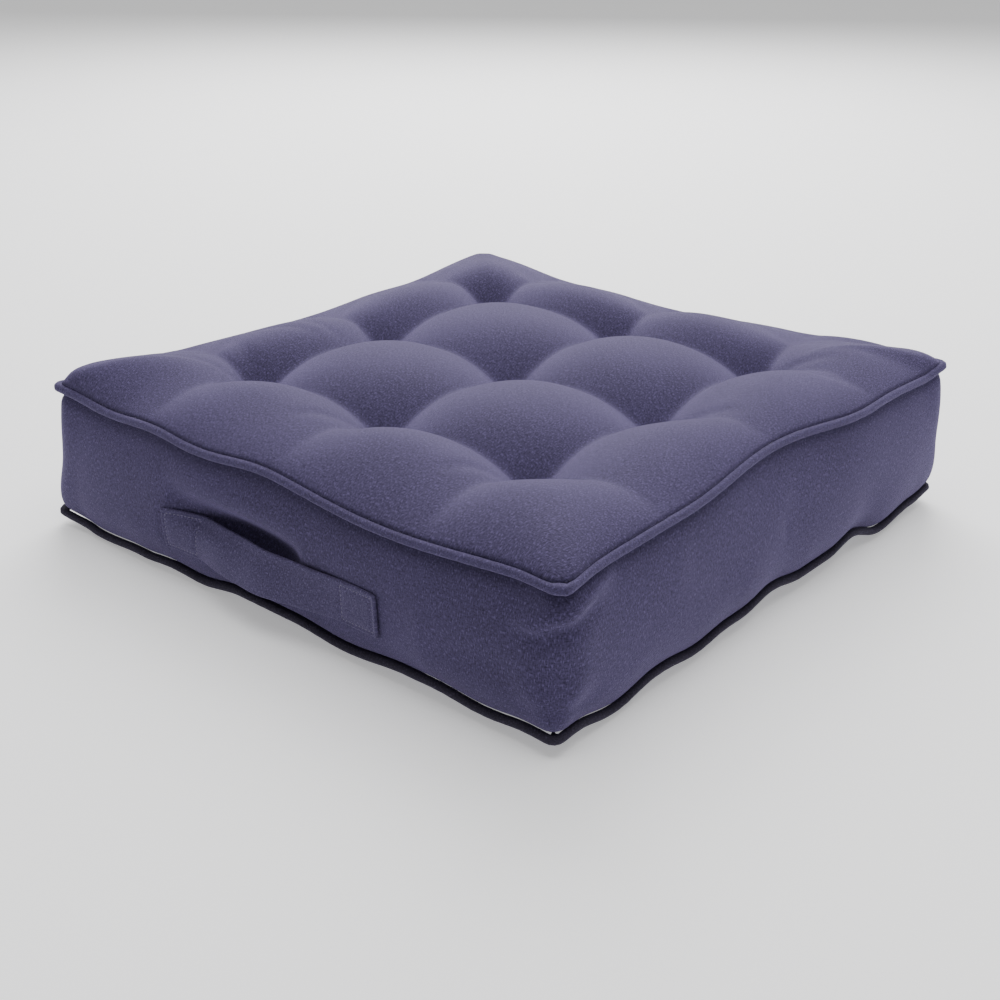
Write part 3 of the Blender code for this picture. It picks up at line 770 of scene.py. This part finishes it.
def piping_tube(name, line, radius, look, wobble=0.0, seam=None):
    """A closed tube round a closed line, with its UV map in metres along and round it.

    Towards the seam, where the strip's two edges lie together, it is drawn out to a flange."""
    bm = bmesh.new()
    threads = bm.loops.layers.uv.new("threads")
    count = len(line)
    rings, lengths = [], [0.0]
    for k, centre in enumerate(line):
        ahead, behind = line[(k + 1) % count], line[k - 1]
        along = (ahead - behind).normalized()
        inward = Vector((0, 0, 1)).cross(along).normalized()
        upward = along.cross(inward)
        turn = Matrix((inward, upward, along)).transposed().to_4x4()
        size = radius * (1 + wobble * noise.noise(centre * WOBBLES_PER_METRE))
        ring = bmesh.ops.create_circle(
            bm, segments=PIPING_SIDES, radius=size, matrix=Matrix.Translation(centre) @ turn
        )["verts"]
        if seam:
            flange = seam[k] - centre
            for vert in ring:
                facing = (vert.co - centre).normalized().dot(flange.normalized())
                drawn = eased((facing - FLANGE_START) / FLANGE_BLEND)
                vert.co = vert.co.lerp(centre + flange, drawn)
        rings.append(ring)
        lengths.append(lengths[-1] + (ahead - centre).length)
    girth = 2 * math.pi * radius
    for k, ring in enumerate(rings):
        following = rings[(k + 1) % count]
        for j in range(PIPING_SIDES):
            beside = (j + 1) % PIPING_SIDES
            face = bm.faces.new((ring[j], ring[beside], following[beside], following[j]))
            corners = ((k, j), (k, j + 1), (k + 1, j + 1), (k + 1, j))
            for loop, (station, place) in zip(face.loops, corners):
                loop[threads].uv = (lengths[station], place / PIPING_SIDES * girth)
    bmesh.ops.recalc_face_normals(bm, faces=bm.faces)
    return finish_piece(bm, name, look)


def cotton_cord(name):
    made, tree, shader = new_look(name)
    shader.inputs["Roughness"].default_value = 0.9
    coordinates = add_node(tree, "UVMap", uv_map="threads")
    strands = slubs(tree, coordinates.outputs[0], 0.006, 0.0012)
    colour = two_tone(tree, strands, (0.62, 0.58, 0.49), (0.84, 0.81, 0.73))
    tree.links.new(colour, shader.inputs["Base Color"])
    bump = add_node(tree, "Bump")
    bump.inputs["Distance"].default_value = 0.0004
    tree.links.new(strands, bump.inputs["Height"])
    tree.links.new(bump.outputs[0], shader.inputs["Normal"])
    return made


piping_canvas = canvas(
    "piping_canvas", (0.022, 0.017, 0.043), (0.074, 0.060, 0.138), turn=math.radians(45)
)
# The bottom strip's canvas is darker and has less sheen: painted shade for the shadow it lies in,
# tucked under the bulging boxing next to the floor.
shade_painted_canvas = canvas(
    "bottom_piping_shade_painted_canvas",
    (0.013, 0.011, 0.020),
    (0.036, 0.030, 0.050),
    sheen=0.10,
    turn=math.radians(45),
)
cord_cotton = cotton_cord("cord_cotton")
for seam, share, look in (("top", 1, piping_canvas), ("bottom", 0, shade_painted_canvas)):
    line, stitched = seam_line(share)
    strip = piping_tube(
        f"{seam}_piping_strip", line, PIPING_RADIUS, look, wobble=0.05, seam=stitched
    )
    ply = strip.modifiers.new("ply", "SOLIDIFY")
    ply.thickness = BIAS_PLY
    ply.offset = -1
    cord = piping_tube(f"{seam}_piping_filler", line, CORD_RADIUS, cord_cotton)
    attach(strip, "cushion")
    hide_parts(f"{seam}_piping_cover")
    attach(cord, "cushion")
    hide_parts(f"{seam}_piping_cord")


# ---- Handle -------------------------------------------------------------------------------------
# A strip of the canvas folded into a strap 33 mm wide, with both raw ends turned under and boxed
# down low on the front boxing. Its free span bows out a little, so that fingers get behind it.

STRAP_WIDTH = 0.033
STRAP_THICKNESS = 0.0026
STRAP_BOW = 0.0060  # how far the free span stands out in its middle
STRAP_LEAN = 0.0028  # how much further out its lower edge hangs
STRAP_SAG = 0.0016
STRAP_CELL = 0.0020
STITCH_INSET = 0.0032
STITCH_DIMPLE = 0.0009
STITCH_DIMPLE_REACH = 0.0016
STRAP_GAP = 0.0004  # between the strap and the boxing it lies on
END_LIFT = 0.0010  # how far the right end's fold stands off the boxing
END_LIFT_REACH = 0.004
SPAN_SKEW = 0.85  # a lower power brings the bow's middle further left
SPAN_POWER = 1.4  # a higher power draws the bow in at both of its ends
RIPPLE = 0.12  # the free span's waves, as a share of its bow
RIPPLES = 5
RIM_ROUNDING = 0.42  # of the strap's thickness
EVENED_ALONG = 0.004  # how far the strap's stiffness evens the boxing out
EVENED_UP = 0.005

left_low, left_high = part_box("handle_left_end")
right_low, right_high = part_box("handle_right_end")
STRAP_SLIP = 0.010  # the strap was sewn on a little to the right, and a little high
STRAP_RISE = 0.006
STRAP_TILT = 0.022  # and a little crooked
STRAP_LEFT, SPAN_LEFT = left_low.x + STRAP_SLIP, left_high.x + STRAP_SLIP
SPAN_RIGHT, STRAP_RIGHT = right_low.x + STRAP_SLIP, right_high.x + STRAP_SLIP
STRAP_MIDDLE = (STRAP_LEFT + STRAP_RIGHT) / 2
STRAP_HEIGHT = (left_low.z + left_high.z) / 2 + STRAP_RISE

cover_faces = [tuple(polygon.vertices) for polygon in sewn_cover.data.polygons]
cover_surface = BVHTree.FromPolygons([Vector(p) for p in cover_points], cover_faces)


def boxing_at(x, z):
    """The front boxing's Y at a point."""
    hit = cover_surface.ray_cast(Vector((x, -1, z)), Vector((0, 1, 0)))
    return hit[0].y


def smooth_boxing_at(x, z):
    """The front boxing's Y, evened out over the strap's stiffness."""
    around = [
        boxing_at(x + dx, z + dz)
        for dx in (-EVENED_ALONG, 0, EVENED_ALONG)
        for dz in (-EVENED_UP, 0, EVENED_UP)
    ]
    return sum(around) / len(around)


def stitch_line_distance(x, v):
    """How far a point of a sewn end is from its box of stitching."""
    low, high = (STRAP_LEFT, SPAN_LEFT) if x < STRAP_MIDDLE else (SPAN_RIGHT, STRAP_RIGHT)
    from_end = min(x - low, high - x) - STITCH_INSET
    from_edge = STRAP_WIDTH / 2 - abs(v) - STITCH_INSET
    if from_end < 0 or from_edge < 0:
        return math.hypot(min(0, from_end), min(0, from_edge))
    return min(from_end, from_edge)


def strap_point(x, v, lift=0.0):
    """A point of the strap's middle ply: x along the cushion, v up its width."""
    z = STRAP_HEIGHT + v + STRAP_TILT * (x - STRAP_LEFT)
    rest = STRAP_THICKNESS / 2 + STRAP_GAP + lift
    if x < SPAN_LEFT or x > SPAN_RIGHT:
        from_stitches = stitch_line_distance(x, v) / STITCH_DIMPLE_REACH
        dimple = STITCH_DIMPLE * math.exp(-(from_stitches**2))
        end_lift = END_LIFT * eased((x - STRAP_RIGHT + END_LIFT_REACH) / END_LIFT_REACH)
        return Vector((x, smooth_boxing_at(x, z) - rest + dimple - end_lift, z))
    share = (x - SPAN_LEFT) / (SPAN_RIGHT - SPAN_LEFT)
    left_y, right_y = smooth_boxing_at(SPAN_LEFT, z), smooth_boxing_at(SPAN_RIGHT, z)
    blend = eased(share)
    base = left_y * (1 - blend) + right_y * blend
    swing = math.sin(math.pi * share**SPAN_SKEW) ** SPAN_POWER
    bow = STRAP_BOW * swing * (1 + RIPPLE * math.sin(RIPPLES * math.pi * share))
    lean = STRAP_LEAN * swing * v / STRAP_WIDTH * 2
    return Vector((x, base - rest - bow + lean, z - STRAP_SAG * swing))


def strap_half(name, start, end, look):
    """One half of the strap, from its sewn end to the middle of its span."""
    bm = bmesh.new()
    threads = bm.loops.layers.uv.new("threads")
    along = round((end - start) / STRAP_CELL)
    across = round(STRAP_WIDTH / STRAP_CELL)
    bmesh.ops.create_grid(bm, x_segments=along, y_segments=across, size=0.5)
    for face in bm.faces:
        for loop in face.loops:
            u, v = loop.vert.co.x + 0.5, loop.vert.co.y
            loop[threads].uv = (start + (end - start) * u, STRAP_WIDTH * v)
    for vert in bm.verts:
        u, v = vert.co.x + 0.5, vert.co.y
        vert.co = strap_point(start + (end - start) * u, STRAP_WIDTH * v)
    bmesh.ops.recalc_face_normals(bm, faces=bm.faces)
    if sum(face.normal.y for face in bm.faces) > 0:
        bmesh.ops.reverse_faces(bm, faces=bm.faces)
    for vert in bm.verts:
        vert.co.y -= STRAP_THICKNESS / 2
    bmesh.ops.solidify(bm, geom=bm.faces[:], thickness=STRAP_THICKNESS)
    bm.normal_update()
    rims = []
    for edge in bm.edges:
        joined = all(abs(vert.co.x - STRAP_MIDDLE) < 1e-4 for vert in edge.verts)
        if not joined and edge.calc_face_angle(0) > math.radians(50):
            rims.append(edge)
    bmesh.ops.bevel(
        bm,
        geom=rims,
        offset=STRAP_THICKNESS * RIM_ROUNDING,
        segments=3,
        profile=0.5,
        affect="EDGES",
        material=-1,
    )
    bmesh.ops.recalc_face_normals(bm, faces=bm.faces)
    piece = finish_piece(bm, name, look)
    piece.data.set_sharp_from_angle(angle=math.radians(60))
    return piece


strap_canvas = canvas("strap_canvas", (0.024, 0.019, 0.046), (0.082, 0.068, 0.146))
for node, start, end, span in (
    ("handle_left_end", STRAP_LEFT, STRAP_MIDDLE, SPAN_LEFT),
    ("handle_right_end", STRAP_MIDDLE, STRAP_RIGHT, SPAN_RIGHT),
):
    half = strap_half(node.replace("_end", "_strap"), start, end, strap_canvas)
    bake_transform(half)
    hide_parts(node, "handle_loop")


# ---- Box stitching ------------------------------------------------------------------------------
# Each sewn end is held by a box of lockstitch in a polyester thread of the canvas's own colour.
# The stitches lie partly sunk in the strap, which dimples along them.

STITCH_PITCH = 0.0032
STITCH_LENGTH = 0.0026
THREAD_RADIUS = 0.00034
THREAD_SHOWING = 0.3  # how far a stitch's middle stands off the strap, of its radius
STITCH_AIM = 0.001


def thread_look(name):
    made, tree, shader = new_look(name)
    shader.inputs["Roughness"].default_value = 0.55
    shader.inputs["Sheen Weight"].default_value = 0.3
    coordinates = add_node(tree, "TexCoord")
    twist = slubs(tree, coordinates.outputs["Object"], 0.0006, 0.0004)
    colour = two_tone(tree, twist, (0.085, 0.072, 0.140), (0.170, 0.150, 0.260))
    tree.links.new(colour, shader.inputs["Base Color"])
    return made


def stitch(bm, place, along):
    """One stitch: a short pillow of thread lying along the seam."""
    turn = along.to_track_quat("X", "Z").to_matrix().to_4x4()
    size = Matrix.Diagonal((STITCH_LENGTH / 2, THREAD_RADIUS, THREAD_RADIUS, 1))
    bmesh.ops.create_icosphere(
        bm, subdivisions=2, radius=1, matrix=Matrix.Translation(place) @ turn @ size
    )


def box_corners(low, high):
    reach = STRAP_WIDTH / 2 - STITCH_INSET
    low, high = low + STITCH_INSET, high - STITCH_INSET
    return [(low, -reach), (high, -reach), (high, reach), (low, reach)]


thread = thread_look("thread")
for node, low_x, high_x in (
    ("handle_left_stitching", STRAP_LEFT, SPAN_LEFT),
    ("handle_right_stitching", SPAN_RIGHT, STRAP_RIGHT),
):
    bm = bmesh.new()
    corners = box_corners(low_x, high_x)
    for (x_a, v_a), (x_b, v_b) in zip(corners, corners[1:] + corners[:1]):
        run = math.hypot(x_b - x_a, v_b - v_a)
        count = round(run / STITCH_PITCH)
        for k in range(count):
            share = (k + 0.5) / count
            here = (x_a + (x_b - x_a) * share, v_a + (v_b - v_a) * share)
            ahead_x = here[0] + (x_b - x_a) / run * STITCH_AIM
            ahead_v = here[1] + (v_b - v_a) / run * STITCH_AIM
            on_face = STRAP_THICKNESS / 2 + THREAD_RADIUS * THREAD_SHOWING
            place = strap_point(*here, lift=on_face)
            stitch(bm, place, strap_point(ahead_x, ahead_v, lift=on_face) - place)
    piece = finish_piece(bm, node + "_thread", thread)
    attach(piece, "cushion")
    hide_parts(node)


# ---- Tufting ------------------------------------------------------------------------------------
# Nine doubled threads go right through the cushion. Each is caught over the top in a short cross
# stitch and knotted off underneath, which pulls both panels in.

TUFT_BUNDLE_RADIUS = 0.0009
CROSS_STITCH_REACH = 0.0030
CROSS_STITCH_ARCH = 0.0014
CROSS_STITCH_LIFT = 0.0003
CROSS_STITCH_STEPS = 3  # each way from its middle
KNOT_RADIUS = 0.0020
KNOT_FLATNESS = 0.75
TAIL_REACH = 0.0035
TAIL_DROP = 0.001
TAIL_RADIUS = 0.0005


def strand(bm, points, radius, sides=8):
    """A short thread along some points, with both ends closed."""
    rings = []
    for k, centre in enumerate(points):
        ahead, behind = points[min(k + 1, len(points) - 1)], points[max(k - 1, 0)]
        turn = (ahead - behind).to_track_quat("Z", "Y").to_matrix().to_4x4()
        ring = bmesh.ops.create_circle(
            bm, segments=sides, radius=radius, matrix=Matrix.Translation(centre) @ turn
        )["verts"]
        rings.append(ring)
    for near, far in zip(rings, rings[1:]):
        edges = [e for ring in (near, far) for e in {e for v in ring for e in v.link_edges}]
        ring_edges = [e for e in edges if set(e.verts) <= set(near) or set(e.verts) <= set(far)]
        bmesh.ops.bridge_loops(bm, edges=list(set(ring_edges)))
    bm.faces.new(rings[0])
    bm.faces.new(list(reversed(rings[-1])))


for node, middle in zip(TUFT_NODES, tuft_middles):
    x, y = middle.x + MIDDLE.x, middle.y + MIDDLE.y
    top = cover_surface.ray_cast(Vector((x, y, 1)), Vector((0, 0, -1)))[0]
    bottom = cover_surface.ray_cast(Vector((x, y, -1)), Vector((0, 0, 1)))[0]
    bm = bmesh.new()
    strand(bm, [bottom, bottom.lerp(top, 0.5), top], TUFT_BUNDLE_RADIUS)
    for angle in (math.radians(20), math.radians(110)):
        arm = Vector((math.cos(angle), math.sin(angle), 0)) * CROSS_STITCH_REACH
        arch = []
        for k in range(2 * CROSS_STITCH_STEPS + 1):
            t = k / CROSS_STITCH_STEPS - 1
            rise = CROSS_STITCH_ARCH * (1 - t * t) + CROSS_STITCH_LIFT
            arch.append(top + arm * t + Vector((0, 0, rise)))
        strand(bm, arch, TUFT_BUNDLE_RADIUS * 0.8)
    knot = Matrix.Translation(bottom - Vector((0, 0, KNOT_RADIUS * 0.5)))
    squashed = Matrix.Diagonal((1, 1, KNOT_FLATNESS, 1))
    bmesh.ops.create_icosphere(bm, subdivisions=2, radius=KNOT_RADIUS, matrix=knot @ squashed)
    for turn in (0.4, 2.7):
        tail = Vector((math.cos(turn), math.sin(turn), 0)) * TAIL_REACH
        under = bottom - Vector((0, 0, TAIL_DROP))
        strand(bm, [under + tail * t for t in (0, 0.5, 1, 1.5)], TAIL_RADIUS)
    bmesh.ops.recalc_face_normals(bm, faces=bm.faces)
    piece = finish_piece(bm, node + "_thread", thread)
    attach(piece, "cushion")
    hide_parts(node)


# ---- Floor, light and camera --------------------------------------------------------------------
# A plain pale floor and soft light from all round, brightest from above and behind to the left.

FLOOR_SIZE = 60.0
FLOOR_GLOW = 0.36  # the paper is lit from below too
SKY_STRENGTH = 0.30


def plain(name, colour, roughness):
    made, _, shader = new_look(name)
    shader.inputs["Base Color"].default_value = (*colour, 1)
    shader.inputs["Roughness"].default_value = roughness
    shader.inputs["Emission Color"].default_value = (1, 1, 1, 1)
    shader.inputs["Emission Strength"].default_value = FLOOR_GLOW
    return made


bm = bmesh.new()
bmesh.ops.create_grid(bm, x_segments=1, y_segments=1, size=FLOOR_SIZE / 2)
floor_mesh = bpy.data.meshes.new("studio_floor")
bm.to_mesh(floor_mesh)
bm.free()
floor_mesh.materials.append(plain("studio_paper", (0.86, 0.86, 0.87), 0.8))
floor = bpy.data.objects.new("studio_floor", floor_mesh)
bpy.context.scene.collection.objects.link(floor)

sky = bpy.data.worlds.new("studio_white")
sky.use_nodes = True
sky.node_tree.nodes["Background"].inputs["Color"].default_value = (1.0, 1.0, 1.0, 1)
sky.node_tree.nodes["Background"].inputs["Strength"].default_value = SKY_STRENGTH
bpy.context.scene.world = sky


def soft_box(name, place, target, size, watts, colour=(1, 1, 1)):
    lamp = bpy.data.lights.new(name, "AREA")
    lamp.shape = "SQUARE"
    lamp.size = size
    lamp.energy = watts
    lamp.color = colour
    made = bpy.data.objects.new(name, lamp)
    made.location = place
    made.rotation_euler = (Vector(target) - Vector(place)).to_track_quat("-Z", "Y").to_euler()
    bpy.context.scene.collection.objects.link(made)


soft_box("back_light", (-1.3, 1.6, 1.7), (0, 0, 0.1), 2.0, 110)
soft_box("overhead", (0.2, 0.1, 2.3), (0, 0, 0.1), 2.2, 50)
soft_box("right_fill", (2.2, 0.2, 0.5), (0, 0, 0.05), 1.2, 3)

CAMERA_AZIMUTH = math.radians(40.64)
CAMERA_ELEVATION = math.radians(24.85)
CAMERA_DISTANCE = 1.122
CAMERA_ROLL = math.radians(0.41)
CAMERA_AIM = MIDDLE + Vector((0.070, -0.093, 0.064 - MIDDLE.z))
CAMERA_LENS = 53.35

lens = bpy.data.cameras.new("camera")
lens.lens = CAMERA_LENS
lens.sensor_width = 36.0
camera = bpy.data.objects.new("camera", lens)
bpy.context.scene.collection.objects.link(camera)
back = Vector((
    math.sin(CAMERA_AZIMUTH) * math.cos(CAMERA_ELEVATION),
    -math.cos(CAMERA_AZIMUTH) * math.cos(CAMERA_ELEVATION),
    math.sin(CAMERA_ELEVATION),
))
camera.location = CAMERA_AIM + back * CAMERA_DISTANCE
aim = (-back).to_track_quat("-Z", "Y").to_matrix().to_4x4()
camera.rotation_euler = (aim @ Matrix.Rotation(CAMERA_ROLL, 4, "Z")).to_euler()
bpy.context.scene.camera = camera


# ---- The pattern taken away ---------------------------------------------------------------------
# The sewn block was only a pattern for the four cloth pieces, so it is taken away.

bpy.data.objects.remove(sewn_cover)
bpy.context.view_layer.update()
